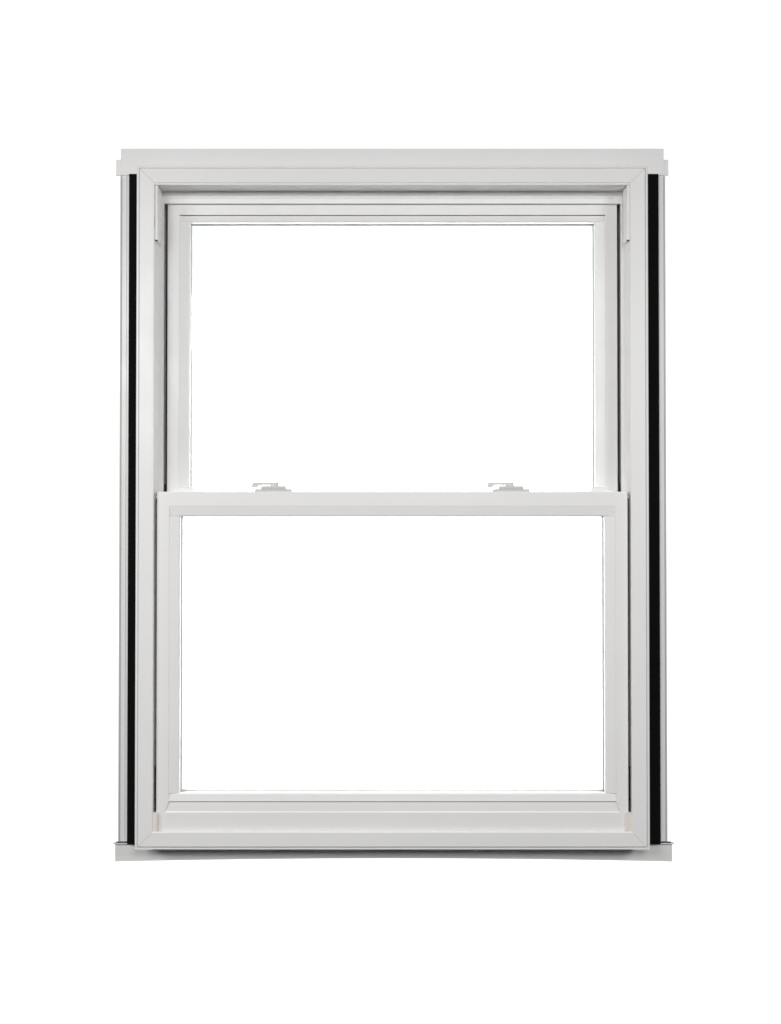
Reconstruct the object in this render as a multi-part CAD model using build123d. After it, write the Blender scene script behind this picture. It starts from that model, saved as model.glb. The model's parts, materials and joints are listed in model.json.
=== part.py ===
from build123d import *
import os

# A white vinyl double hung window, seen from the room: a welded frame, two glazed sashes,
# two cam locks, tilt latches, and the fins and filler channel that fasten it in a wall.
# +X is to the right, +Y is to the outside and +Z is up. The origin is on the front face
# of the sill fin, below the frame's middle, in the plane where the fins bear on the wall.

# Frame
frame_width = 914.4
frame_height = 1219.2
frame_depth = 82.6
fin_setback = 34.9
frame_bottom = 27.5
flange_width = 32.7
flange_thickness = 3.4
lip_width = 4.2
lip_setback = 3.0
lip_groove = 1.6
lip_groove_depth = 2.2
edge_round = 1.2
track_wall = 31.0
parting_stop_play = 2.0
parting_stop_thickness = 4.0
parting_stop_reach = 38.8
outer_track_wall = 36.2
outer_stop_reach = 51.7
outer_stop_thickness = 4.1
outer_stop_play = 1.5
head_stop_height = 15.7
head_stop_chamfer = 0.9
liner_nose = 2.6
liner_nose_depth = 2.4
liner_setback = 0.6
liner_wall = 1.5
seat_gap = 0.3
sill_floor_inner = 24.5
sill_floor_step = 15.0
sill_floor_outer = 8.0
weep_length = 30.0
weep_height = 3.6
weep_depth = 9.0
weep_spacing = 620.0
track_cover_height = 97.5
track_cover_thickness = 6.2
track_cover_depth = 27.0

# Fins, foam and head channel
fin_thickness = 2.5
fin_tongue = 5.2
fin_slot_play = 0.1
left_fin_width = 43.8
right_fin_width = 45.6
hem_height = 0.8
hem_width = 1.6
hem_spacing = 9.0
head_fin_height = 30.0
head_fin_overhang = 51.8
left_foam_width = 24.6
right_foam_width = 30.0
foam_thickness = 8.0
foam_inset = 0.3
channel_height = 49.4
channel_overhang = 42.3
channel_wall = 2.3
sill_fin_height = 38.7
sill_fin_left_overhang = 49.2
sill_fin_right_overhang = 53.8
sill_fin_bow = 6.0
sill_lip_height = 3.2
sill_lip_reach = 4.0
sill_lip_overhang = 2.6
sill_lip_drop = 4.0

# Sashes
lower_sash_setback = 7.0
lower_side_gap = 36.7
upper_side_gap = 43.8
stile_face = 22.0
bead_width = 18.7
bead_step = 0.8
bead_heel = 0.5
bead_slope_depth = 2.6
bead_shoulder = 1.6
bead_nose = 0.6
bead_nose_depth = 4.8
leg_thickness = 3.5
glazing_depth = 10.5
pane_thickness = 3.2
glass_bite = 11.5
spacer_width = 7.0
spacer_inset = 1.5
lower_sash_bottom = 25.0
lower_sash_height = 610.6
bottom_rail_face = 57.1
bottom_rail_crease = 39.4
lift_edge_height = 2.5
lift_edge_depth = 1.0
lift_slope_depth = 2.2
meeting_rail_face = 25.5
groove_width = 1.8
bottom_bead = 14.5
upper_sash_top_gap = 39.6
top_rail_face = 33.5
top_bead = 10.7
check_rail_height = 44.7
hook_wall = 2.0
hook_drop = 12.0
hook_play = 1.2
pocket_play = 2.0
pile_width = 6.0
pile_groove = 2.5
pile_play = 0.3
pile_end_gap = 6.0

# Locks, keepers and tilt latches
lock_spacing = 426.0
lock_base_length = 66.0
lock_base_thickness = 5.2
lock_base_setback = 2.0
lock_base_margin = 2.0
lock_base_chamfer = 1.6
lock_housing_height = 5.4
lock_housing_inset = 0.4
lock_housing_chamfer = 1.4
lock_wall = 1.6
lock_pivot_inset = 9.5
cam_engagement = 2.5
cam_width = 10.0
cam_round = 3.0
cam_thickness = 2.8
cam_play = 0.4
shaft_radius = 3.6
shaft_play = 0.06
hub_radius = 7.4
hub_height = 7.0
hub_chamfer = 1.0
hub_clearance = 0.3
lever_length = 42.0
lever_root_width = 12.0
lever_tip_width = 10.0
lever_tip_round = 3.0
lever_thickness = 5.2
lever_crown = 0.6
lever_tip_length = 9.0
lever_tip_drop = 10.2
lever_tip_slant = 2.5
lever_arch_reach = 7.0
keeper_length = 30.0
keeper_play = 0.3
keeper_height = 11.2
keeper_wall = 2.0
keeper_chamfer = 1.2
latch_inset = 48.5
latch_button_length = 28.0
latch_button_width = 12.0
latch_button_height = 7.0
latch_button_chamfer = 2.0
latch_rib_spacing = 4.0
latch_rib_count = 4
latch_rib_width = 1.2
latch_rib_depth = 0.8
latch_plate_length = 58.0
latch_plate_width = 18.0
latch_plate_thickness = 1.6
latch_travel = 9.0
latch_bar_height = 5.0
latch_bar_width = 7.0
latch_bar_drop = 7.0
latch_play = 0.8
latch_stem_length = 12.0
latch_wall_gap = 0.5

# Blocks in the tracks
shoe_height = 60.0
shoe_setback = 10.0
shoe_depth = 16.0
shoe_play = 0.2
corner_block_width = 7.0
corner_block_height = 33.0
screw_hole_radius = 2.6
screw_spacing = 900.0
cutter_overshoot = 1.0

# Both sashes, the stop between them and the outer stop share the frame's depth.
track_play = 2 * parting_stop_play + outer_stop_play
stops_thickness = parting_stop_thickness + outer_stop_thickness
sash_thickness = (frame_depth - lower_sash_setback - track_play - stops_thickness) / 2
parting_stop_depth = lower_sash_setback + sash_thickness + parting_stop_play
upper_sash_setback = parting_stop_depth + parting_stop_thickness + parting_stop_play
glass_unit_thickness = sash_thickness - leg_thickness - glazing_depth

half_width = frame_width / 2
frame_top = frame_bottom + frame_height
room_face = fin_setback - frame_depth
outer_face = fin_setback
lower_half = half_width - lower_side_gap
upper_half = half_width - upper_side_gap
lower_front = room_face + lower_sash_setback
upper_front = room_face + upper_sash_setback
lower_bottom = frame_bottom + lower_sash_bottom
lower_top = lower_bottom + lower_sash_height
upper_top = frame_top - upper_sash_top_gap
upper_bottom = lower_top - check_rail_height
daylight_inset = stile_face + bead_width
keeper_depth = glazing_depth - keeper_play
lock_base_depth = sash_thickness - lock_base_setback - lock_base_margin
lock_pivot_depth = sash_thickness - lock_pivot_inset
cam_radius = upper_sash_setback + cam_engagement - lower_sash_setback - lock_pivot_depth
lock_housing_length = 2 * (cam_radius + cam_play + lock_wall)
liner_bottom = frame_top - flange_width - seat_gap - liner_nose
latch_position = lower_half - latch_inset

os.makedirs("parts", exist_ok=True)


def box(x_low, x_high, y_low, y_high, z_low, z_high):
    """A box between two corners."""
    block = Solid.make_box(x_high - x_low, y_high - y_low, z_high - z_low)
    return Pos(x_low, y_low, z_low) * block


def prism(points, along):
    """A solid swept in a straight line from the closed outline through the points."""
    outline = Face(Wire.make_polygon([Vector(*point) for point in points], close=True))
    return Solid.extrude(outline, Vector(*along))


def upright(profile, half, z_low, z_high, side):
    """An upright bar; its profile is (inward, y), inward from the side face at half."""
    points = [(side * (half - inward), y, z_low) for inward, y in profile]
    return prism(points, (0, 0, z_high - z_low))


def crossbar(profile, half, z_edge, direction):
    """A level bar; its profile is (inward, y), inward from the edge at z_edge."""
    points = [(-half, y, z_edge + direction * inward) for inward, y in profile]
    return prism(points, (2 * half, 0, 0))


def end_region(half, z_edge, direction, corners, y_low, y_high):
    """The region that a rail fills at its mitres; corners are (inward, up) from the edge."""
    left = [(-half + inward, y_low, z_edge + direction * up) for inward, up in corners]
    right = [(half - inward, y_low, z_edge + direction * up) for inward, up in reversed(corners)]
    return prism(left + right, (0, y_high - y_low, 0))


def save(shape, name):
    """Write one named piece."""
    export_step(shape, f"parts/{name}.step")


def pair(solid):
    """The solid and its mirror image on the other side of the window's middle."""
    return Compound(children=[solid, solid.mirror(Plane.YZ)])


def flange_profile():
    """The room side of every frame bar, from the outer edge to the inside of its flange."""
    lip = room_face + lip_setback
    return [
        (0, lip + edge_round),
        (edge_round, lip),
        (lip_width, lip),
        (lip_width, lip + lip_groove_depth),
        (lip_width + lip_groove, lip + lip_groove_depth),
        (lip_width + lip_groove, room_face + edge_round),
        (lip_width + lip_groove + edge_round, room_face),
        (flange_width - edge_round, room_face),
        (flange_width, room_face + edge_round),
        (flange_width, room_face + flange_thickness),
    ]


def fin_slot_profile():
    """The outside edge of every frame bar, with the slot that takes the fin's tongue."""
    return [
        (0, outer_face),
        (0, fin_thickness + fin_slot_play),
        (fin_tongue + fin_slot_play, fin_thickness + fin_slot_play),
        (fin_tongue + fin_slot_play, -fin_slot_play),
        (0, -fin_slot_play),
    ]


def jamb_profile():
    """A jamb or head: flange, room track, parting stop, outer track and outer stop."""
    stop_front = room_face + parting_stop_depth
    stop_back = stop_front + parting_stop_thickness
    outer_stop_front = outer_face - outer_stop_thickness
    tracks = [
        (track_wall, room_face + flange_thickness),
        (track_wall, stop_front),
        (parting_stop_reach, stop_front),
        (parting_stop_reach, stop_back),
        (outer_track_wall, stop_back),
        (outer_track_wall, outer_stop_front),
        (outer_stop_reach, outer_stop_front),
        (outer_stop_reach, outer_face),
    ]
    return flange_profile() + tracks + fin_slot_profile()


def sill_profile():
    """The sill: flange, level seat under the lower sash, then a slope to the outside."""
    step_front = room_face + parting_stop_depth
    floor = [
        (sill_floor_inner, room_face + flange_thickness),
        (sill_floor_inner, step_front),
        (sill_floor_step, step_front + parting_stop_thickness),
        (sill_floor_outer, outer_face),
    ]
    return flange_profile() + floor + fin_slot_profile()


def frame_bars():
    """The four bars of the frame, mitred at the head and at the flange of the sill."""
    reach = outer_stop_reach + cutter_overshoot
    front = room_face - cutter_overshoot
    head_miter = end_region(
        half_width, frame_top, -1, [(0, 0), (reach, reach)], front, outer_face + cutter_overshoot
    )
    flange_miter = end_region(
        half_width, frame_bottom, 1, [(0, 0), (reach, reach)], front, room_face + flange_thickness
    )
    hole_y = (room_face + parting_stop_depth + parting_stop_thickness + outer_face) / 2
    hole_middle = frame_bottom + frame_height / 2
    jambs = []
    for side in (-1, 1):
        jamb = upright(jamb_profile(), half_width, frame_bottom, frame_top, side)
        jamb = jamb - head_miter - flange_miter
        for end in (-1, 1):
            hole = Cylinder(screw_hole_radius, frame_depth, rotation=(0, 90, 0))
            z = hole_middle + end * screw_spacing / 2
            jamb -= Pos(side * half_width, hole_y, z) * hole
        jambs.append(jamb)
    head = crossbar(jamb_profile(), half_width, frame_top, -1) & head_miter
    sill = crossbar(sill_profile(), half_width, frame_bottom, 1) - jambs[0] - jambs[1]
    sill = sill.solids().sort_by(SortBy.VOLUME)[-1]
    for side in (-1, 1):
        weep = Box(weep_length, 2 * weep_depth, weep_height)
        sill -= Pos(side * weep_spacing / 2, outer_face, frame_bottom + sill_floor_outer / 2) * weep
    return head, sill, jambs[0], jambs[1]


def head_stop():
    """The stop snapped under the head, which hides the top of the upper sash."""
    half = half_width - parting_stop_reach
    top = frame_top - parting_stop_reach
    front = room_face + parting_stop_depth
    stop = box(-half, half, front, front + parting_stop_thickness, top - head_stop_height, top)
    return chamfer(stop.edges().filter_by(Axis.X).group_by(Axis.Y)[0], head_stop_chamfer)


def head_liner():
    """The liner snapped into the head's room track, with a nose under the flange."""
    half = half_width - flange_width - seat_gap
    ceiling = frame_top - track_wall
    nose_top = frame_top - flange_width - seat_gap
    nose_front = room_face + liner_setback
    nose_back = nose_front + liner_nose_depth
    wall_front = room_face + flange_thickness + seat_gap
    back = room_face + parting_stop_depth - seat_gap
    outline = [
        (-half, nose_front, nose_top), (-half, wall_front, nose_top), (-half, wall_front, ceiling),
        (-half, back, ceiling), (-half, back, ceiling - liner_wall),
        (-half, wall_front + liner_wall, ceiling - liner_wall), (-half, nose_back, liner_bottom),
        (-half, nose_front, liner_bottom),
    ]
    return prism(outline, (2 * half, 0, 0))


def track_covers():
    """The covers at the top of the two room tracks."""
    outer = half_width - track_wall
    front = room_face + flange_thickness + shoe_play
    top = liner_bottom
    cover = box(
        outer - track_cover_thickness, outer, front, front + track_cover_depth,
        top - track_cover_height, top,
    )
    return pair(cover)


def side_fin(side):
    """A fin beside the frame, with its tongue in the jamb and two thin hems."""
    outer = left_fin_width if side < 0 else right_fin_width
    profile = [(fin_tongue, 0)]
    for start in (outer - 2 * hem_width - hem_spacing, outer - hem_width):
        profile += [(-start, 0), (-start, -hem_height), (-start - hem_width, -hem_height)]
        profile += [(-start - hem_width, 0)]
    profile = profile[:-1] + [(-outer, fin_thickness), (fin_tongue, fin_thickness)]
    z_low = frame_bottom - sill_lip_drop
    return upright(profile, half_width, z_low, frame_top, side)


def side_foam(side):
    """The black foam strip on the fin, beside the jamb."""
    foam_width = left_foam_width if side < 0 else right_foam_width
    profile = [
        (-foam_inset, 0), (-foam_inset, -foam_thickness),
        (-foam_inset - foam_width, -foam_thickness), (-foam_inset - foam_width, 0),
    ]
    return upright(profile, half_width, frame_bottom - sill_lip_drop, frame_top, side)


def head_fin():
    """The fin over the head, with its tongue in the head's slot."""
    half = half_width + head_fin_overhang
    plate = box(-half, half, 0, fin_thickness, frame_top, frame_top + head_fin_height)
    tongue_half = half_width - fin_tongue - fin_slot_play
    tongue = box(-tongue_half, tongue_half, 0, fin_thickness, frame_top - fin_tongue, frame_top)
    return plate + tongue


def head_channel():
    """The filler channel over the head: front leg, top and rear leg."""
    half = half_width + channel_overhang
    z_low, z_high = frame_top, frame_top + channel_height
    back = outer_face
    outline = [
        (-half, -channel_wall, z_low), (-half, 0, z_low),
        (-half, 0, z_high - channel_wall), (-half, back - channel_wall, z_high - channel_wall),
        (-half, back - channel_wall, z_low), (-half, back, z_low),
        (-half, back, z_high), (-half, -channel_wall, z_high),
    ]
    return prism(outline, (2 * half, 0, 0))


def sill_fin():
    """The fin under the sill: a plate with a bowed lower edge and a lip along its top."""
    left = -half_width - sill_fin_left_overhang
    right = half_width + sill_fin_right_overhang
    top = frame_bottom - sill_lip_drop
    bottom = top - sill_fin_height + sill_lip_drop
    edges = [
        Line((left, 0, bottom), (left, 0, top)),
        Line((left, 0, top), (right, 0, top)),
        Line((right, 0, top), (right, 0, bottom)),
        ThreePointArc((right, 0, bottom), (0, 0, bottom + sill_fin_bow), (left, 0, bottom)),
    ]
    plate = Solid.extrude(Face(Wire(edges)), Vector(0, fin_thickness, 0))
    tongue_half = half_width - outer_track_wall - fin_slot_play
    tongue = box(-tongue_half, tongue_half, 0, fin_thickness, top, frame_bottom + fin_tongue)
    lip_left = left - sill_lip_overhang
    lip = [
        (lip_left, fin_thickness, top), (lip_left, -sill_lip_reach, top),
        (lip_left, -sill_lip_reach, top - sill_lip_height / 2),
        (lip_left, 0, top - sill_lip_height), (lip_left, fin_thickness, top - sill_lip_height),
    ]
    return plate + tongue + prism(lip, (right + sill_lip_overhang - lip_left, 0, 0))


def bar_profile(front, face, leg_reach):
    """A sash bar: its face, the glazing pocket and the outer leg that the glass rests on."""
    back = front + sash_thickness
    leg_front = back - leg_thickness
    return [
        (0, front + edge_round), (edge_round, front), (face, front), (face, leg_front),
        (face + leg_reach - edge_round, leg_front), (face + leg_reach, leg_front + edge_round),
        (face + leg_reach - edge_round, back), (0, back),
    ]


def stile_profile(front):
    """A sash stile, with the groove for its pile strip in the outer edge."""
    profile = bar_profile(front, stile_face, bead_width)
    groove_back = front + sash_thickness - leg_thickness
    groove_front = groove_back - pile_width
    groove = [(0, groove_back), (pile_groove, groove_back)]
    return profile + groove + [(pile_groove, groove_front), (0, groove_front)]


def bottom_rail_profile(front):
    """The lower sash's bottom rail: upright to the lift edge, and sloping back above it."""
    leg = groove_width + bottom_bead
    back = bar_profile(front, bottom_rail_face, leg)[3:]
    foot = [
        (0, front + edge_round), (edge_round, front), (bottom_rail_crease, front),
        (bottom_rail_crease + lift_edge_height, front + lift_edge_depth),
        (bottom_rail_face, front + lift_slope_depth),
    ]
    return foot + back


def hook_down(front):
    """The meeting rail's hook: out from the top of the back face, then down."""
    back = front + sash_thickness
    reach = upper_front - back - hook_play
    return [
        (0, back), (0, back + reach), (hook_drop, back + reach),
        (hook_drop, back + reach - hook_wall), (hook_wall, back + reach - hook_wall),
        (hook_wall, back),
    ]


def sash_uprights(half, front, z_low, z_high, low_region, high_region):
    """Both stiles of a sash, cut off by its two rails' mitre regions."""
    stiles = []
    for side in (-1, 1):
        bar = upright(stile_profile(front), half, z_low, z_high, side)
        stiles.append(bar - low_region - high_region)
    return stiles


def rail_region(half, front, z_edge, direction, face, leg):
    """The mitre region of a sash rail with the given face height and leg height."""
    corners = [(0, 0), (stile_face, face), (daylight_inset, face + leg)]
    reach = sash_thickness / 2
    return end_region(
        half, z_edge, direction, corners, front - reach, front + sash_thickness + reach
    )


def latch_channel(side, slot):
    """The room that a tilt latch's bar and stem take inside the top of the lower sash."""
    middle_y = lower_front + sash_thickness / 2
    half_bar = latch_bar_width / 2 + latch_play
    x_inner = latch_position - latch_stem_length / 2 - latch_travel - latch_play
    x_outer = lower_half + cutter_overshoot
    z_low = lower_top - latch_bar_drop - latch_bar_height - latch_play
    z_high = lower_top - latch_bar_drop + latch_play
    if slot:
        x_outer = latch_position + latch_stem_length / 2 + latch_play
        z_low, z_high = z_high, lower_top + latch_plate_thickness + cutter_overshoot
    channel = box(x_inner, x_outer, middle_y - half_bar, middle_y + half_bar, z_low, z_high)
    return channel if side > 0 else channel.mirror(Plane.YZ)


def tilt_latch(side):
    """A tilt latch: a thumb button, its stem and the bar that locks into the jamb's gap."""
    middle_y = lower_front + sash_thickness / 2
    plate_top = lower_top + latch_plate_thickness
    half_button = latch_button_length / 2
    bar_top = lower_top - latch_bar_drop
    x_nose = half_width - track_wall - latch_wall_gap
    base = plate_top + hub_clearance
    button = box(
        latch_position - half_button, latch_position + half_button,
        middle_y - latch_button_width / 2, middle_y + latch_button_width / 2,
        base, plate_top + latch_button_height,
    )
    button = chamfer(button.edges().group_by(Axis.Z)[-1], latch_button_chamfer)
    for index in range(latch_rib_count):
        x = latch_position + (index - (latch_rib_count - 1) / 2) * latch_rib_spacing
        rib = Box(latch_rib_width, 2 * latch_button_width, 2 * latch_rib_depth)
        button -= Pos(x, middle_y, plate_top + latch_button_height) * rib
    half_stem = latch_stem_length / 2
    half_bar = latch_bar_width / 2
    stem = box(
        latch_position - half_stem, latch_position + half_stem,
        middle_y - half_bar, middle_y + half_bar, bar_top - latch_bar_height, base,
    )
    bar = box(
        latch_position - half_stem, x_nose, middle_y - half_bar, middle_y + half_bar,
        bar_top - latch_bar_height, bar_top,
    )
    latch = button + stem + bar
    return latch if side > 0 else latch.mirror(Plane.YZ)


def latch_plates():
    """The plates on the lower sash's top rail that the thumb buttons slide along."""
    middle_y = lower_front + sash_thickness / 2
    x_middle = latch_position - latch_travel / 2
    plate = box(
        x_middle - latch_plate_length / 2, x_middle + latch_plate_length / 2,
        middle_y - latch_plate_width / 2, middle_y + latch_plate_width / 2,
        lower_top, lower_top + latch_plate_thickness,
    )
    return pair(plate - latch_channel(1, True))


def lower_sash():
    """The four bars of the lower sash, in front of the upper one."""
    half, front = lower_half, lower_front
    bottom_leg = groove_width + bottom_bead
    low = rail_region(half, front, lower_bottom, 1, bottom_rail_face, bottom_leg)
    high = rail_region(half, front, lower_top, -1, meeting_rail_face, bead_width)
    stiles = sash_uprights(half, front, lower_bottom, lower_top, low, high)
    bottom = crossbar(bottom_rail_profile(front), half, lower_bottom, 1) & low
    meeting = crossbar(bar_profile(front, meeting_rail_face, bead_width), half, lower_top, -1)
    hook_half = half_width - parting_stop_reach - hook_play
    hook = crossbar(hook_down(front), hook_half, lower_top, -1)
    meeting = (meeting & high) + (hook & high)
    for side in (-1, 1):
        meeting = meeting - latch_channel(side, False) - latch_channel(side, True)
    stiles = [stile - latch_channel(-1, False) - latch_channel(1, False) for stile in stiles]
    return stiles[0], stiles[1], meeting, bottom


def check_rail_profile(front):
    """The upper sash's meeting rail: a pocket from above for the glass, and a hook upward."""
    back = front + sash_thickness
    pocket_floor = check_rail_height - glass_bite - pocket_play
    hook_top = check_rail_height - hook_wall - hook_play
    hook_low = hook_top - hook_drop + hook_wall + hook_play
    hook_front = front - hook_play - 2 * hook_wall - hook_play
    return [
        (0, front), (0, back), (check_rail_height, back),
        (check_rail_height, back - leg_thickness), (pocket_floor, back - leg_thickness),
        (pocket_floor, front + glazing_depth), (check_rail_height, front + glazing_depth),
        (check_rail_height, front), (hook_low, front), (hook_low, hook_front + hook_wall),
        (hook_top, hook_front + hook_wall), (hook_top, hook_front),
        (hook_low - hook_wall, hook_front), (hook_low - hook_wall, front),
    ]


def upper_sash():
    """The four bars of the upper sash."""
    half, front = upper_half, upper_front
    top_leg = groove_width + top_bead
    low = rail_region(half, front, upper_bottom, 1, check_rail_height - bead_width, bead_width)
    high = rail_region(half, front, upper_top, -1, top_rail_face, top_leg)
    stiles = sash_uprights(half, front, upper_bottom, upper_top, low, high)
    top = crossbar(bar_profile(front, top_rail_face, top_leg), half, upper_top, -1) & high
    check = crossbar(check_rail_profile(front), half, upper_bottom, 1) & low
    return stiles[0], stiles[1], top, check


def bead_profile(front, start, width):
    """A glazing bead from the bar's face to the glass; it slopes in to its rounded nose."""
    back = front + glazing_depth
    nose = start + width
    slope_end = nose - bead_nose - bead_shoulder
    return [
        (start, back), (start, front + bead_step),
        (start + bead_heel, front + bead_step - bead_heel), (slope_end, front + bead_slope_depth),
        (nose - bead_nose, front + (bead_slope_depth + bead_nose_depth) / 2),
        (nose, front + bead_nose_depth), (nose, back),
    ]


def sash_beads(half, front, z_low, z_high):
    """Level beads run across the sash; side beads stand between them."""
    inner = half - stile_face
    z_start = z_low[0] + z_low[1]
    z_end = z_high[0] - z_high[1]
    top = crossbar(bead_profile(front, z_high[1] - z_high[2], z_high[2]), inner, z_high[0], -1)
    pieces = [top]
    if z_low[2]:
        profile = bead_profile(front, z_low[1] - z_low[2], z_low[2])
        pieces.append(crossbar(profile, inner, z_low[0], 1))
    side = upright(bead_profile(front, stile_face, bead_width), half, z_start, z_end, -1)
    pieces.append(pair(side))
    return pieces


def glass_parts(half, front, z_low, z_high):
    """The room pane, the outside pane and the spacer of a sealed glass unit."""
    x = half - daylight_inset + glass_bite
    low, high = z_low - glass_bite, z_high + glass_bite
    y_front = front + glazing_depth
    y_back = y_front + glass_unit_thickness
    room_pane = box(-x, x, y_front, y_front + pane_thickness, low, high)
    outside_pane = box(-x, x, y_back - pane_thickness, y_back, low, high)
    inset = spacer_inset
    y_low, y_high = y_front + pane_thickness, y_back - pane_thickness
    spacer = box(-x + inset, x - inset, y_low, y_high, low + inset, high - inset)
    inset += spacer_width
    spacer -= box(-x + inset, x - inset, y_low, y_high, low + inset, high - inset)
    return room_pane, outside_pane, spacer


def pile_strips(half, front, z_low, z_high, wall_inset):
    """The pile strips in a sash's stiles, which brush the track walls."""
    back = front + sash_thickness - leg_thickness
    wall = half_width - wall_inset
    strip = box(
        half - pile_groove, wall - pile_play, back - pile_width, back, z_low, z_high
    )
    return strip


def lock_places():
    """The two pivots, left then right, as (x, y) on the lower sash's top rail."""
    y = lower_front + lock_pivot_depth
    return [(-lock_spacing / 2, y), (lock_spacing / 2, y)]


def lock_base(x, y):
    """The lock's foot and its housing, hollow where the cam turns and open to the outside."""
    front = lower_front + lock_base_setback
    foot = box(
        x - lock_base_length / 2, x + lock_base_length / 2, front, front + lock_base_depth,
        lower_top, lower_top + lock_base_thickness,
    )
    foot = chamfer(foot.edges().group_by(Axis.Z)[-1], lock_base_chamfer)
    z_low = lower_top + lock_base_thickness
    z_high = z_low + lock_housing_height
    half = lock_housing_length / 2
    housing_front = front + lock_housing_inset
    housing = box(x - half, x + half, housing_front, front + lock_base_depth, z_low, z_high)
    housing = chamfer(housing.edges().group_by(Axis.Z)[-1], lock_housing_chamfer)
    cavity = box(
        x - half + lock_wall, x + half - lock_wall, housing_front + lock_wall,
        front + lock_base_depth + cutter_overshoot, z_low, z_high - lock_wall,
    )
    bore = Pos(x, y, z_high) * Cylinder(shaft_radius + shaft_play, 2 * lock_housing_height)
    return foot + (housing - cavity - bore)


def lever_arm(x, y, arm_high):
    """The lever's arm: tapered in plan and arched below, with its tip turned down."""
    tip = x - lever_length
    z_tip = arm_high - lever_tip_drop
    z_under = arm_high - lever_thickness
    inner_tip = tip + lever_tip_length
    side_y = y - hub_radius
    corners = [(tip + lever_tip_slant, side_y, arm_high), (tip, side_y, z_tip), (inner_tip, side_y, z_tip)]
    arch_end = (inner_tip + lever_arch_reach, side_y, z_under)
    root_low = (x, side_y, z_under)
    root_high = (x, side_y, arm_high - lever_crown)
    outline = [
        Line(root_high, corners[0]), Line(corners[0], corners[1]), Line(corners[1], corners[2]),
        TangentArc(arch_end, corners[2], tangent=(-1, 0, 0)), Line(arch_end, root_low),
        Line(root_low, root_high),
    ]
    side_view = Solid.extrude(Face(Wire(outline)), Vector(0, 2 * hub_radius, 0))
    plan = prism([
        (x, y - lever_root_width / 2, z_tip), (tip, y - lever_tip_width / 2, z_tip),
        (tip, y + lever_tip_width / 2, z_tip), (x, y + lever_root_width / 2, z_tip),
    ], (0, 0, lever_tip_drop))
    plan = fillet(plan.edges().filter_by(Axis.Z).group_by(Axis.X)[0], lever_tip_round)
    return side_view & plan


def lock_lever(x, y):
    """The lever: a round hub, an arm to the left, the shaft, and the cam that locks."""
    hub_low = lower_top + lock_base_thickness + lock_housing_height + hub_clearance
    hub = Pos(x, y, hub_low + hub_height / 2) * Cylinder(hub_radius, hub_height)
    hub = chamfer(hub.edges().group_by(Axis.Z)[-1], hub_chamfer)
    cam_low = lower_top + lock_base_thickness + cam_play
    shaft = Cylinder(shaft_radius, hub_low - cam_low, align=(Align.CENTER, Align.CENTER, Align.MIN))
    half = cam_width / 2
    cam = box(x - half, x + half, y, y + cam_radius, cam_low, cam_low + cam_thickness)
    cam = fillet(cam.edges().filter_by(Axis.Z).group_by(Axis.Y)[-1], cam_round)
    cam += Pos(x, y, cam_low + cam_thickness / 2) * Cylinder(half, cam_thickness)
    return hub + lever_arm(x, y, hub_low + hub_height) + Pos(x, y, cam_low) * shaft + cam


def keepers():
    """The keepers on the upper sash's meeting rail, open where the cams swing in."""
    hoods = []
    for x, y in lock_places():
        half = keeper_length / 2
        front = upper_front
        hood = box(x - half, x + half, front, front + keeper_depth, lower_top,
                   lower_top + keeper_height)
        hood = chamfer(hood.edges().group_by(Axis.Z)[-1], keeper_chamfer)
        mouth = box(
            x - half - cutter_overshoot, x + half - keeper_wall,
            front - cutter_overshoot, front + keeper_depth - keeper_wall,
            lower_top + keeper_wall, lower_top + keeper_height - keeper_wall,
        )
        hoods.append(hood - mouth)
    return Compound(children=hoods)


def track_shoes():
    """The balance shoes beside the foot of each sash, on which the sashes pivot."""
    blocks = []
    sashes = [
        (lower_half, lower_front, lower_bottom + bottom_rail_face, track_wall),
        (upper_half, upper_front, upper_bottom, outer_track_wall),
    ]
    for half, front, z_low, wall_inset in sashes:
        y_low = front + shoe_setback
        blocks.append(box(
            half + shoe_play, half_width - wall_inset, y_low, y_low + shoe_depth,
            z_low, z_low + shoe_height,
        ))
    return Compound(children=blocks + [block.mirror(Plane.YZ) for block in blocks])


def corner_blocks():
    """The cream blocks at the foot of the lower sash, between its stiles and the flange."""
    outer = half_width - flange_width
    z_low = frame_bottom + flange_width
    block = box(
        outer - corner_block_width, outer, room_face + edge_round, lower_front,
        z_low, z_low + corner_block_height,
    )
    return pair(block)


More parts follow.
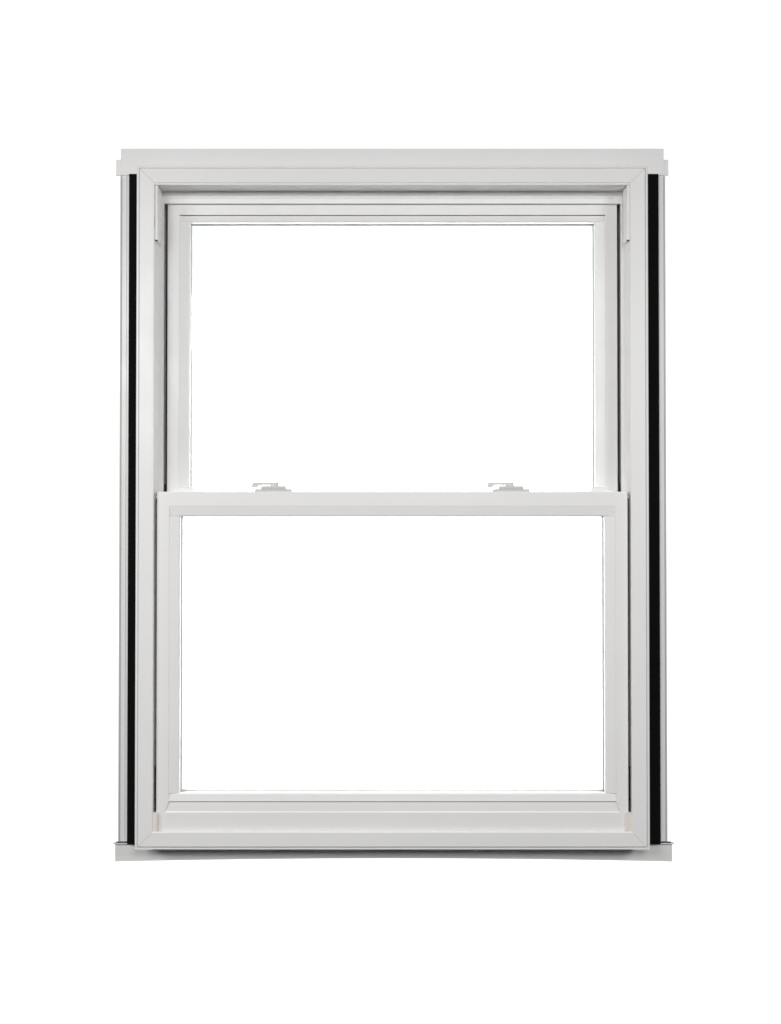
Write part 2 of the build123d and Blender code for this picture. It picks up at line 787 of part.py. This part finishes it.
def build():
    """Make every piece, by the name of its file."""
    pieces = {}
    bars = frame_bars()
    for name, bar in zip(("frame_head", "frame_sill", "frame_jamb_left", "frame_jamb_right"), bars):
        pieces[name] = bar
    pieces["head_stop"] = head_stop()
    pieces["head_liner"] = head_liner()
    pieces["track_covers"] = track_covers()
    for name, side in (("left", -1), ("right", 1)):
        pieces[f"fin_{name}"] = side_fin(side)
        pieces[f"foam_{name}"] = side_foam(side)
        pieces[f"tilt_latch_{name}"] = tilt_latch(side)
    pieces["fin_head"] = head_fin()
    pieces["head_channel"] = head_channel()
    pieces["fin_sill"] = sill_fin()
    names = ("lower_stile_left", "lower_stile_right", "lower_meeting_rail", "lower_bottom_rail")
    pieces.update(zip(names, lower_sash()))
    names = ("upper_stile_left", "upper_stile_right", "upper_top_rail", "upper_meeting_rail")
    pieces.update(zip(names, upper_sash()))
    bottom_edge = bottom_rail_face + groove_width + bottom_bead
    meeting_edge = meeting_rail_face + bead_width
    beads = sash_beads(
        lower_half, lower_front,
        (lower_bottom, bottom_edge, bottom_bead), (lower_top, meeting_edge, bead_width),
    )
    pieces.update(zip(("lower_bead_top", "lower_bead_bottom", "lower_beads_side"), beads))
    top_edge = top_rail_face + groove_width + top_bead
    beads = sash_beads(
        upper_half, upper_front, (upper_bottom, check_rail_height, 0), (upper_top, top_edge, top_bead),
    )
    pieces.update(zip(("upper_bead_top", "upper_beads_side"), beads))
    glass_names = ("pane_room", "pane_outside", "spacer")
    lower_glass = glass_parts(
        lower_half, lower_front, lower_bottom + bottom_edge, lower_top - meeting_edge
    )
    upper_glass = glass_parts(upper_half, upper_front, lower_top, upper_top - top_edge)
    for name, lower_piece, upper_piece in zip(glass_names, lower_glass, upper_glass):
        pieces[f"lower_{name}"] = lower_piece
        pieces[f"upper_{name}"] = upper_piece
    lower_strip = pile_strips(
        lower_half, lower_front, lower_bottom + bottom_rail_face + shoe_height,
        lower_top - latch_bar_drop - latch_bar_height - latch_play, track_wall,
    )
    upper_strip = pile_strips(
        upper_half, upper_front, upper_bottom + shoe_height, upper_top - pile_end_gap,
        outer_track_wall,
    )
    pieces["pile_strips"] = Compound(children=[
        lower_strip, lower_strip.mirror(Plane.YZ), upper_strip, upper_strip.mirror(Plane.YZ),
    ])
    for name, place in zip(("left", "right"), lock_places()):
        pieces[f"lock_base_{name}"] = lock_base(*place)
        pieces[f"lock_lever_{name}"] = lock_lever(*place)
    pieces["lock_keepers"] = keepers()
    pieces["latch_plates"] = latch_plates()
    pieces["track_shoes"] = track_shoes()
    pieces["corner_blocks"] = corner_blocks()
    return pieces


for piece_name, piece in build().items():
    save(piece, piece_name)
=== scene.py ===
import json
import math

import bmesh
import bpy
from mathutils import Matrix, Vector


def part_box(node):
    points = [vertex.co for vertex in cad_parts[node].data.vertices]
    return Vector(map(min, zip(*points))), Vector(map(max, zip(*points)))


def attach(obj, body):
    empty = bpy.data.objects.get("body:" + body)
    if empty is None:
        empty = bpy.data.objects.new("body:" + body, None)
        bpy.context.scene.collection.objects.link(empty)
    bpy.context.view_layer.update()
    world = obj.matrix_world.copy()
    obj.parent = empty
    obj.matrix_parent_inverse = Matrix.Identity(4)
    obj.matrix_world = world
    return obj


# A double hung window of white vinyl, dressed and lit for a picture from the room: two glazed
# sashes in a welded frame, with fins and black foam beside it. Z is up and Y points outside.

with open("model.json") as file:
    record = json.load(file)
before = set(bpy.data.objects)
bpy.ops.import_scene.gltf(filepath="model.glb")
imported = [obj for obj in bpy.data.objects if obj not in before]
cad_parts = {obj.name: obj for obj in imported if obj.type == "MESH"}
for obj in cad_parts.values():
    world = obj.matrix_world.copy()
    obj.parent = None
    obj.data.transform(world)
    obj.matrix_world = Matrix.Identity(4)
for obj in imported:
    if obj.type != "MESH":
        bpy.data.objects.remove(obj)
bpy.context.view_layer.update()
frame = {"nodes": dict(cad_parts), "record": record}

MM = 0.001
ROOM = (0.0, -1.0, 0.0)
UP = (0.0, 0.0, 1.0)

# Pattern sizes, in millimetres
CLOUD_SIZE = 90
WAVE_SIZE = 60
# The grain of a real skin and the cells of real foam are finer: drawn this coarse to show
GRAIN_SIZE = 1.4
FOAM_CELL = 1.6
PILE_FIBRE = 0.5
GLASS_WAVE = 350
SPACER_GRAIN = 0.8

# Edges of the rigid pieces
EDGE_BREAK = 0.35 * MM
EDGE_BREAK_ANGLE = 35
EDGE_BREAK_SLOTS = ("white_vinyl", "moulded_plastic", "lock_enamel", "cream_plastic")
# Beads that throw no shadow: in the photograph's soft light there is no dark line under them
SHADOWLESS_BEADS = ("upper_bead_top", "lower_bead_top")

# Camera: in front of the window's middle line, as far off as the photograph was taken
CAMERA_DISTANCE = 1.5
CAMERA_HEIGHT = 0.6110
CAMERA_PITCH = 0.6
SENSOR_WIDTH = 36.0
FOCAL_PIXELS = 844.0
IMAGE_WIDTH = 781
IMAGE_HEIGHT = 1024
WINDOW_MIDDLE_PIXEL = 392.3

# Softboxes: azimuth to the right of straight ahead in degrees, distance in metres, power in watts
SOFTBOXES = {
    "left_key": (-30, 2.3, 13.2),
    "left_rim": (-55, 2.6, 14.2),
    "right_softbox": (45, 2.4, 14.6),
    "front_softbox": (8, 2.1, 10.9),
}
SOFTBOX_SIZE = 0.6
SOFTBOX_HEIGHT = 1.33
SOFTBOX_AIM_HEIGHT = -0.6
GRID_SPREAD = 155
OPEN_SPREAD = 180

# Light from behind, on the outside of the window
GLOW_DISTANCE = 2.2
GLOW_HEIGHT = 0.211
GLOW_SIZE = 2.4
GLOW_POWER = 60.0

# Floor, far below a window that hangs on a wall in use, and the light over it
FLOOR_RADIUS = 1.7
FLOOR_SEGMENTS = 96
FLOOR_HEIGHT = -1.5
FLOOR_LIGHT_HEIGHT = -0.3
FLOOR_LIGHT_SIZE = 3.0
FLOOR_LIGHT_POWER = 45.0

# World
FILL_STRENGTH = 0.02
GLOSS_STRENGTH = 0.5
BACKGROUND_STRENGTH = 1.35
WHITE = (1, 1, 1, 1)


def linear(code):
    """A linear colour from an sRGB hex value."""
    parts = [int(code[start:start + 2], 16) / 255 for start in (0, 2, 4)]
    return tuple(
        part / 12.92 if part <= 0.04045 else ((part + 0.055) / 1.055) ** 2.4 for part in parts
    ) + (1.0,)


def per_metre(size):
    """The texture scale that gives a pattern of a size in millimetres."""
    return 1 / (size * MM)


def new_material(name):
    """A new material; returns it and its surface shader."""
    material = bpy.data.materials.new(name)
    material.use_nodes = True
    return material, material.node_tree.nodes["Principled BSDF"]


def add_node(owner, kind, settings=None, values=None, links=None):
    """Add a node to a material or world, with its settings, socket values and incoming links."""
    tree = owner.node_tree
    node = tree.nodes.new(kind)
    for key, value in (settings or {}).items():
        setattr(node, key, value)
    for key, value in (values or {}).items():
        node.inputs[key].default_value = value
    for key, source in (links or {}).items():
        tree.links.new(source, node.inputs[key])
    return node


def ramp_stops(ramp, stops):
    """Set a colour ramp's stops from (place, colour) pairs."""
    elements = ramp.color_ramp.elements
    for element, (place, colour) in zip(elements, stops):
        element.position = place
        element.color = colour


def satin_finish(name, code, roughness, tint):
    """A smooth satin skin: its colour and gloss drift slowly, and it is faintly wavy and grained."""
    material, shader = new_material(name)
    place = add_node(material, "ShaderNodeTexCoord").outputs["Object"]
    cloud = add_node(
        material, "ShaderNodeTexNoise",
        values={"Scale": per_metre(CLOUD_SIZE), "Detail": 3.0},
        links={"Vector": place},
    )
    shade = add_node(material, "ShaderNodeValToRGB", links={"Fac": cloud.outputs["Fac"]})
    ramp_stops(shade, [(0.3, linear(code)), (0.7, linear(tint))])
    grain = add_node(
        material, "ShaderNodeTexNoise",
        values={"Scale": per_metre(GRAIN_SIZE), "Detail": 4.0},
        links={"Vector": place},
    )
    wave = add_node(
        material, "ShaderNodeTexNoise",
        values={"Scale": per_metre(WAVE_SIZE), "Detail": 1.0},
        links={"Vector": place},
    )
    gloss = add_node(
        material, "ShaderNodeMapRange",
        values={
            "From Min": 0.3,
            "From Max": 0.7,
            "To Min": roughness - 0.05,
            "To Max": roughness + 0.06,
        },
        links={"Value": cloud.outputs["Fac"]},
    )
    fine_bump = add_node(
        material, "ShaderNodeBump",
        values={"Strength": 0.12, "Distance": 0.02 * MM},
        links={"Height": grain.outputs["Fac"]},
    )
    bump = add_node(
        material, "ShaderNodeBump",
        values={"Strength": 0.25, "Distance": 0.15 * MM},
        links={"Height": wave.outputs["Fac"], "Normal": fine_bump.outputs["Normal"]},
    )
    links = material.node_tree.links
    links.new(shade.outputs["Color"], shader.inputs["Base Color"])
    links.new(gloss.outputs["Result"], shader.inputs["Roughness"])
    links.new(bump.outputs["Normal"], shader.inputs["Normal"])
    shader.inputs["IOR"].default_value = 1.53
    shader.inputs["Subsurface Weight"].default_value = 0.04
    shader.inputs["Subsurface Radius"].default_value = (0.002, 0.002, 0.0018)
    return material


def closed_cell_foam():
    """Black rubber foam, cut from sheet: matt, with small closed cells."""
    material, shader = new_material("closed_cell_foam")
    place = add_node(material, "ShaderNodeTexCoord").outputs["Object"]
    cells = add_node(
        material, "ShaderNodeTexVoronoi",
        values={"Scale": per_metre(FOAM_CELL)},
        links={"Vector": place},
    )
    shade = add_node(material, "ShaderNodeValToRGB", links={"Fac": cells.outputs["Distance"]})
    ramp_stops(shade, [(0.0, linear("020203")), (0.8, linear("070708"))])
    bump = add_node(
        material, "ShaderNodeBump",
        values={"Strength": 0.5, "Distance": 0.2 * MM},
        links={"Height": cells.outputs["Distance"]},
    )
    links = material.node_tree.links
    links.new(shade.outputs["Color"], shader.inputs["Base Color"])
    links.new(bump.outputs["Normal"], shader.inputs["Normal"])
    shader.inputs["Roughness"].default_value = 0.85
    shader.inputs["Specular IOR Level"].default_value = 0.1
    return material


def woven_pile():
    """Woven polypropylene pile: short dark fibres, matt with a weak sheen."""
    material, shader = new_material("woven_pile")
    place = add_node(material, "ShaderNodeTexCoord").outputs["Object"]
    fibres = add_node(
        material, "ShaderNodeTexNoise",
        values={"Scale": per_metre(PILE_FIBRE), "Detail": 2.0},
        links={"Vector": place},
    )
    shade = add_node(material, "ShaderNodeValToRGB", links={"Fac": fibres.outputs["Fac"]})
    ramp_stops(shade, [(0.3, linear("0a0a0a")), (0.7, linear("262626"))])
    bump = add_node(
        material, "ShaderNodeBump",
        values={"Strength": 0.8, "Distance": 0.3 * MM},
        links={"Height": fibres.outputs["Fac"]},
    )
    links = material.node_tree.links
    links.new(shade.outputs["Color"], shader.inputs["Base Color"])
    links.new(bump.outputs["Normal"], shader.inputs["Normal"])
    shader.inputs["Roughness"].default_value = 0.95
    shader.inputs["Sheen Weight"].default_value = 0.3
    return material


def float_glass():
    """Clear float glass: very slightly green, and almost but not quite flat."""
    material, shader = new_material("float_glass")
    place = add_node(material, "ShaderNodeTexCoord").outputs["Object"]
    wave = add_node(
        material, "ShaderNodeTexNoise",
        values={"Scale": per_metre(GLASS_WAVE), "Detail": 0.0},
        links={"Vector": place},
    )
    bump = add_node(
        material, "ShaderNodeBump",
        values={"Strength": 0.003, "Distance": 0.1 * MM},
        links={"Height": wave.outputs["Fac"]},
    )
    material.node_tree.links.new(bump.outputs["Normal"], shader.inputs["Normal"])
    shader.inputs["Base Color"].default_value = linear("fcfffd")
    shader.inputs["Roughness"].default_value = 0.0
    shader.inputs["IOR"].default_value = 1.52
    shader.inputs["Transmission Weight"].default_value = 1.0
    return material


def mill_aluminium():
    """Roll-formed aluminium with its mill finish: a grey metal of uneven, low gloss."""
    material, shader = new_material("mill_aluminium")
    place = add_node(material, "ShaderNodeTexCoord").outputs["Object"]
    grain = add_node(
        material, "ShaderNodeTexNoise",
        values={"Scale": per_metre(SPACER_GRAIN), "Detail": 2.0},
        links={"Vector": place},
    )
    gloss = add_node(
        material, "ShaderNodeMapRange",
        values={"To Min": 0.35, "To Max": 0.5},
        links={"Value": grain.outputs["Fac"]},
    )
    material.node_tree.links.new(gloss.outputs["Result"], shader.inputs["Roughness"])
    shader.inputs["Base Color"].default_value = linear("c9cacb")
    shader.inputs["Metallic"].default_value = 1.0
    return material


# Extruded PVC: cool white with a soft, wide highlight
white_vinyl = satin_finish("extruded_white_pvc", "f1f0ef", 0.36, "eeedec")
# Moulded ABS: the same white with a tighter highlight
moulded_abs = satin_finish("moulded_white_abs", "f2f1ef", 0.30, "efeeeb")
# Enamel on die-cast zinc: a light grey that sets the locks off from the vinyl
lock_enamel = satin_finish("enamelled_zinc", "d2d2d0", 0.34, "cecfcc")
# Moulded ABS in ivory: the warm blocks at the foot of the lower sash
ivory_abs = satin_finish("moulded_ivory_abs", "f0e9df", 0.45, "ebe3d8")
# Trimmed weld flash: a duller grey line across the white corners; the same grey is also painted
# shade, the shaded step along the head stop
weld_flash_and_step_shade = satin_finish("weld_flash_and_step_shade_pvc", "b9b8b4", 0.5, "b2b1ad")
# Painted shade: a soft grey that stands for the shade on the outer edge of a fin
fin_edge_shade = satin_finish("painted_fin_edge_shade_pvc", "bdbdb9", 0.5, "b6b6b2")
# Painted shade: dark and brownish, for the shaded inside of a hollow
hollow_shade_plate = satin_finish("painted_hollow_shade", "4a443b", 0.6, "3c3731")
# Moulded nylon: near black
black_nylon = satin_finish("moulded_black_nylon", "151516", 0.5, "1c1c1d")
# Black foam: the real foam strips, and also the painted shadow under the sill fin's lip
foam_and_lip_shadow = closed_cell_foam()
pile = woven_pile()
glass = float_glass()
spacer_metal = mill_aluminium()

MATERIAL_OF_SLOT = {
    "white_vinyl": white_vinyl,
    "moulded_plastic": moulded_abs,
    "lock_enamel": lock_enamel,
    "cream_plastic": ivory_abs,
    "black_nylon": black_nylon,
    "black_foam": foam_and_lip_shadow,
    "black_pile": pile,
    "spacer_metal": spacer_metal,
    "glass": glass,
}


def dress_nodes():
    """Give every node the finish of its slot, and break the sharp edges of the rigid ones."""
    slots = {entry["node"]: entry["material_slot"] for entry in frame["record"]["subparts"]}
    for name, piece in frame["nodes"].items():
        slot = slots[name]
        piece.data.materials.clear()
        piece.data.materials.append(MATERIAL_OF_SLOT[slot])
        if slot in EDGE_BREAK_SLOTS:
            bevel = piece.modifiers.new("edge_break", "BEVEL")
            bevel.width = EDGE_BREAK
            bevel.segments = 2
            bevel.limit_method = "ANGLE"
            bevel.angle_limit = math.radians(EDGE_BREAK_ANGLE)
        if slot == "glass" or name in SHADOWLESS_BEADS:
            piece.visible_shadow = False


def add_piece(name, shape, material):
    """Turn a built shape into a named trim piece that rides on the window, with a slot's finish."""
    mesh = bpy.data.meshes.new(name)
    bmesh.ops.recalc_face_normals(shape, faces=shape.faces)
    shape.to_mesh(mesh)
    shape.free()
    mesh.materials.append(material)
    piece = bpy.data.objects.new(name, mesh)
    bpy.context.scene.collection.objects.link(piece)
    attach(piece, "window")


def sweep(shape, section, start, end, side, out):
    """A bar from start to end, with the section's points given as (along side, along out)."""
    rings = []
    for place in (start, end):
        rings.append([
            shape.verts.new(Vector(place) + Vector(side) * across + Vector(out) * proud)
            for across, proud in section
        ])
    first, last = rings
    count = len(section)
    for index in range(count):
        after = (index + 1) % count
        shape.faces.new((first[index], first[after], last[after], last[index]))
    shape.faces.new(first)
    shape.faces.new(list(reversed(last)))


def bar(shape, low, high):
    """A plain bar between two corners, as part of a trim piece."""
    corners = [
        shape.verts.new((x, y, z))
        for x in (low[0], high[0])
        for y in (low[1], high[1])
        for z in (low[2], high[2])
    ]
    sides = (
        (0, 1, 3, 2), (4, 6, 7, 5), (0, 4, 5, 1), (2, 3, 7, 6), (0, 2, 6, 4), (1, 5, 7, 3),
    )
    for side in sides:
        shape.faces.new([corners[index] for index in side])


def weld_seams():
    """Trimmed weld flash: a low ridge along the mitre at each corner of the frame's face."""
    flange = 32.7 * MM
    end_gap = 1.5 * MM
    outer_gap = 6.4 * MM
    half_width = 0.45 * MM
    proud = 0.3 * MM
    sunk = 0.2 * MM
    ridge = [(-half_width, -sunk), (0.0, proud), (half_width, -sunk)]
    low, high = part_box("frame_jamb_left")
    face = low[1]
    half_frame = -low[0]
    inner_gap = flange - end_gap
    diagonal = 1 / math.sqrt(2)
    shape = bmesh.new()
    for side in (-1, 1):
        for edge, lift in ((low[2], 1), (high[2], -1)):
            start = (side * (half_frame - outer_gap), face, edge + lift * outer_gap)
            end = (side * (half_frame - inner_gap), face, edge + lift * inner_gap)
            across = (side * diagonal, 0.0, lift * diagonal)
            sweep(shape, ridge, start, end, across, ROOM)
    add_piece("weld_seams", shape, weld_flash_and_step_shade)


def shaded_fin_edges():
    """A low grey strip along the outer side of each side fin: its grey is painted shade on the fin's
    outer edge.
    """
    width = 4.0 * MM
    proud = 0.4 * MM
    inner_proud = 0.24 * MM
    rounding = 0.6 * MM
    rounded = [
        (0.0, 0.0), (0.0, inner_proud), (rounding, proud), (width - rounding, proud), (width, 0.0),
    ]
    shape = bmesh.new()
    for node, side in (("fin_left", 1), ("fin_right", -1)):
        low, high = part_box(node)
        edge = low[0] if side > 0 else high[0]
        sweep(shape, rounded, (edge, 0.0, low[2]), (edge, 0.0, high[2]), (side, 0.0, 0.0), ROOM)
    # The grey of this strip is painted shade.
    add_piece("shaded_fin_edges", shape, fin_edge_shade)


def sill_lip_shadow():
    """A black strip under the sill fin's lip, on both sides of the frame: painted shadow under the
    lip, drawn in the black foam.
    """
    lip = 7.2 * MM
    height = 5.0 * MM
    proud = 1.2 * MM
    inset = 5.0 * MM
    low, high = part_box("fin_sill")
    frame_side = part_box("frame_jamb_right")[1][0]
    top = high[2] - lip
    shape = bmesh.new()
    for near, far in ((low[0] + inset, -frame_side), (frame_side, high[0] - inset)):
        bar(shape, (near, -proud, top - height), (far, 0.0, top))
    # The black foam here is painted shadow under the lip.
    add_piece("sill_lip_shadow", shape, foam_and_lip_shadow)


def track_seals():
    """The foot of the pile seal in each room track, just above the corner blocks."""
    play = 0.6 * MM
    reach = 3.6 * MM
    height = 70.0 * MM
    depth = 8.0 * MM
    setback = 9.0 * MM
    stile_low, stile_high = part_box("lower_stile_right")
    front = stile_low[1] + setback
    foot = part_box("corner_blocks")[1][2]
    shape = bmesh.new()
    for side in (-1, 1):
        near, far = sorted((side * (stile_high[0] + play), side * (stile_high[0] + reach)))
        bar(shape, (near, front, foot), (far, front + depth, foot + height))
    add_piece("track_seals", shape, pile)


def head_stop_step_shade():
    """A fine grey ridge along the head stop, just below its upper edge: its grey is painted shade of
    a step there.
    """
    drop = 5.6 * MM
    end_gap = 12 * MM
    half_width = 0.5 * MM
    proud = 0.3 * MM
    sunk = 0.1 * MM
    ridge = [(-half_width, -sunk), (0.0, proud), (half_width, -sunk)]
    low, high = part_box("head_stop")
    height = high[2] - drop
    start = (low[0] + end_gap, low[1], height)
    end = (high[0] - end_gap, low[1], height)
    shape = bmesh.new()
    sweep(shape, ridge, start, end, UP, ROOM)
    # The grey of this ridge is painted shade.
    add_piece("head_stop_step_shade", shape, weld_flash_and_step_shade)


def cover_mouths():
    """A dark plate in the open lower end of each track cover: painted shade for the hollow inside.
    """
    cover = 6.2 * MM
    wall = 0.8 * MM
    lift = 0.25 * MM
    mouth = 9.0 * MM
    low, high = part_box("track_covers")
    shape = bmesh.new()
    for near, far in ((low[0], low[0] + cover), (high[0] - cover, high[0])):
        bar(
            shape,
            (near + wall, low[1] + wall, low[2] - lift),
            (far - wall, low[1] + mouth, low[2] + lift),
        )
    # The dark plate is painted shade inside the covers.
    add_piece("cover_mouths", shape, hollow_shade_plate)


def make_camera():
    """The camera straight in front of the window, at the photograph's distance."""
    room_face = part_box("frame_head")[0][1]
    data = bpy.data.cameras.new("camera")
    data.sensor_width = SENSOR_WIDTH
    data.lens = FOCAL_PIXELS * SENSOR_WIDTH / IMAGE_HEIGHT
    data.shift_x = -(WINDOW_MIDDLE_PIXEL - IMAGE_WIDTH / 2) / IMAGE_HEIGHT
    camera = bpy.data.objects.new("camera", data)
    camera.location = (0.0, room_face - CAMERA_DISTANCE, CAMERA_HEIGHT)
    camera.rotation_euler = (math.radians(90 + CAMERA_PITCH), 0, 0)
    bpy.context.scene.collection.objects.link(camera)
    bpy.context.scene.camera = camera


def area_light(name, place, aim, size, power, spread=OPEN_SPREAD):
    """A square softbox at a place, turned to face a point; returns it."""
    data = bpy.data.lights.new(name, "AREA")
    data.shape = "RECTANGLE"
    data.size = size
    data.size_y = size
    data.energy = power
    data.spread = math.radians(spread)
    light = bpy.data.objects.new(name, data)
    light.location = place
    facing = Vector(aim) - Vector(place)
    light.rotation_euler = facing.to_track_quat("-Z", "Y").to_euler()
    bpy.context.scene.collection.objects.link(light)
    return light


def make_softboxes():
    """Gridded softboxes level with the head and aimed below the sill: they reach into the head's
    recess from straight ahead, leave the sill fin shaded, and light the faces between evenly."""
    aim = (0.0, 0.0, SOFTBOX_AIM_HEIGHT)
    for name, (azimuth, distance, power) in SOFTBOXES.items():
        turn = math.radians(azimuth)
        place = (distance * math.sin(turn), -distance * math.cos(turn), SOFTBOX_HEIGHT)
        area_light(name, place, aim, SOFTBOX_SIZE, power, GRID_SPREAD)


def make_unseen_lights():
    """A glow on the window's outside and a light on the floor, which neither the camera nor a
    glossy surface sees."""
    glow = area_light(
        "backdrop_glow", (0.0, GLOW_DISTANCE, GLOW_HEIGHT), (0.0, 0.0, CAMERA_HEIGHT),
        GLOW_SIZE, GLOW_POWER,
    )
    floor_light = area_light(
        "floor_light", (0.0, 0.0, FLOOR_LIGHT_HEIGHT), (0.0, 0.0, FLOOR_HEIGHT),
        FLOOR_LIGHT_SIZE, FLOOR_LIGHT_POWER,
    )
    for light in (glow, floor_light):
        light.visible_camera = False
        light.visible_glossy = False


def make_world():
    """White to the eye and through glass; for light and gloss, a dim studio."""
    world = bpy.data.worlds.new("studio")
    world.use_nodes = True
    path = add_node(world, "ShaderNodeLightPath")
    straight = add_node(
        world, "ShaderNodeMath",
        settings={"operation": "MAXIMUM"},
        links={0: path.outputs["Is Camera Ray"], 1: path.outputs["Is Transmission Ray"]},
    )
    undiffused = add_node(
        world, "ShaderNodeMath",
        settings={"operation": "LESS_THAN"},
        values={1: 0.5},
        links={0: path.outputs["Diffuse Depth"]},
    )
    seen = add_node(
        world, "ShaderNodeMath",
        settings={"operation": "MULTIPLY"},
        links={0: straight.outputs[0], 1: undiffused.outputs[0]},
    )
    dim_strength = add_node(
        world, "ShaderNodeMath",
        settings={"operation": "MULTIPLY_ADD"},
        values={1: GLOSS_STRENGTH - FILL_STRENGTH, 2: FILL_STRENGTH},
        links={0: path.outputs["Is Glossy Ray"]},
    )
    dim = add_node(
        world, "ShaderNodeBackground",
        values={"Color": WHITE},
        links={"Strength": dim_strength.outputs[0]},
    )
    white = add_node(
        world, "ShaderNodeBackground",
        values={"Color": WHITE, "Strength": BACKGROUND_STRENGTH},
    )
    mix = add_node(
        world, "ShaderNodeMixShader",
        links={0: seen.outputs[0], 1: dim.outputs[0], 2: white.outputs[0]},
    )
    output = world.node_tree.nodes["World Output"]
    world.node_tree.links.new(mix.outputs[0], output.inputs["Surface"])
    bpy.context.scene.world = world


def make_floor():
    """A pale, matt, round floor far below the window, which throws no light back up."""
    shape = bmesh.new()
    bmesh.ops.create_circle(shape, cap_ends=True, radius=FLOOR_RADIUS, segments=FLOOR_SEGMENTS)
    bmesh.ops.translate(shape, verts=shape.verts, vec=(0, 0, FLOOR_HEIGHT))
    mesh = bpy.data.meshes.new("floor")
    shape.to_mesh(mesh)
    shape.free()
    material, shader = new_material("pale_floor")
    shader.inputs["Base Color"].default_value = linear("f4f4f4")
    shader.inputs["Roughness"].default_value = 0.8
    mesh.materials.append(material)
    floor = bpy.data.objects.new("floor", mesh)
    bpy.context.scene.collection.objects.link(floor)
    floor.visible_diffuse = False


dress_nodes()
weld_seams()
shaded_fin_edges()
sill_lip_shadow()
track_seals()
head_stop_step_shade()
cover_mouths()
make_camera()
make_world()
make_floor()
make_softboxes()
make_unseen_lights()
bpy.context.scene.view_settings.view_transform = "Standard"
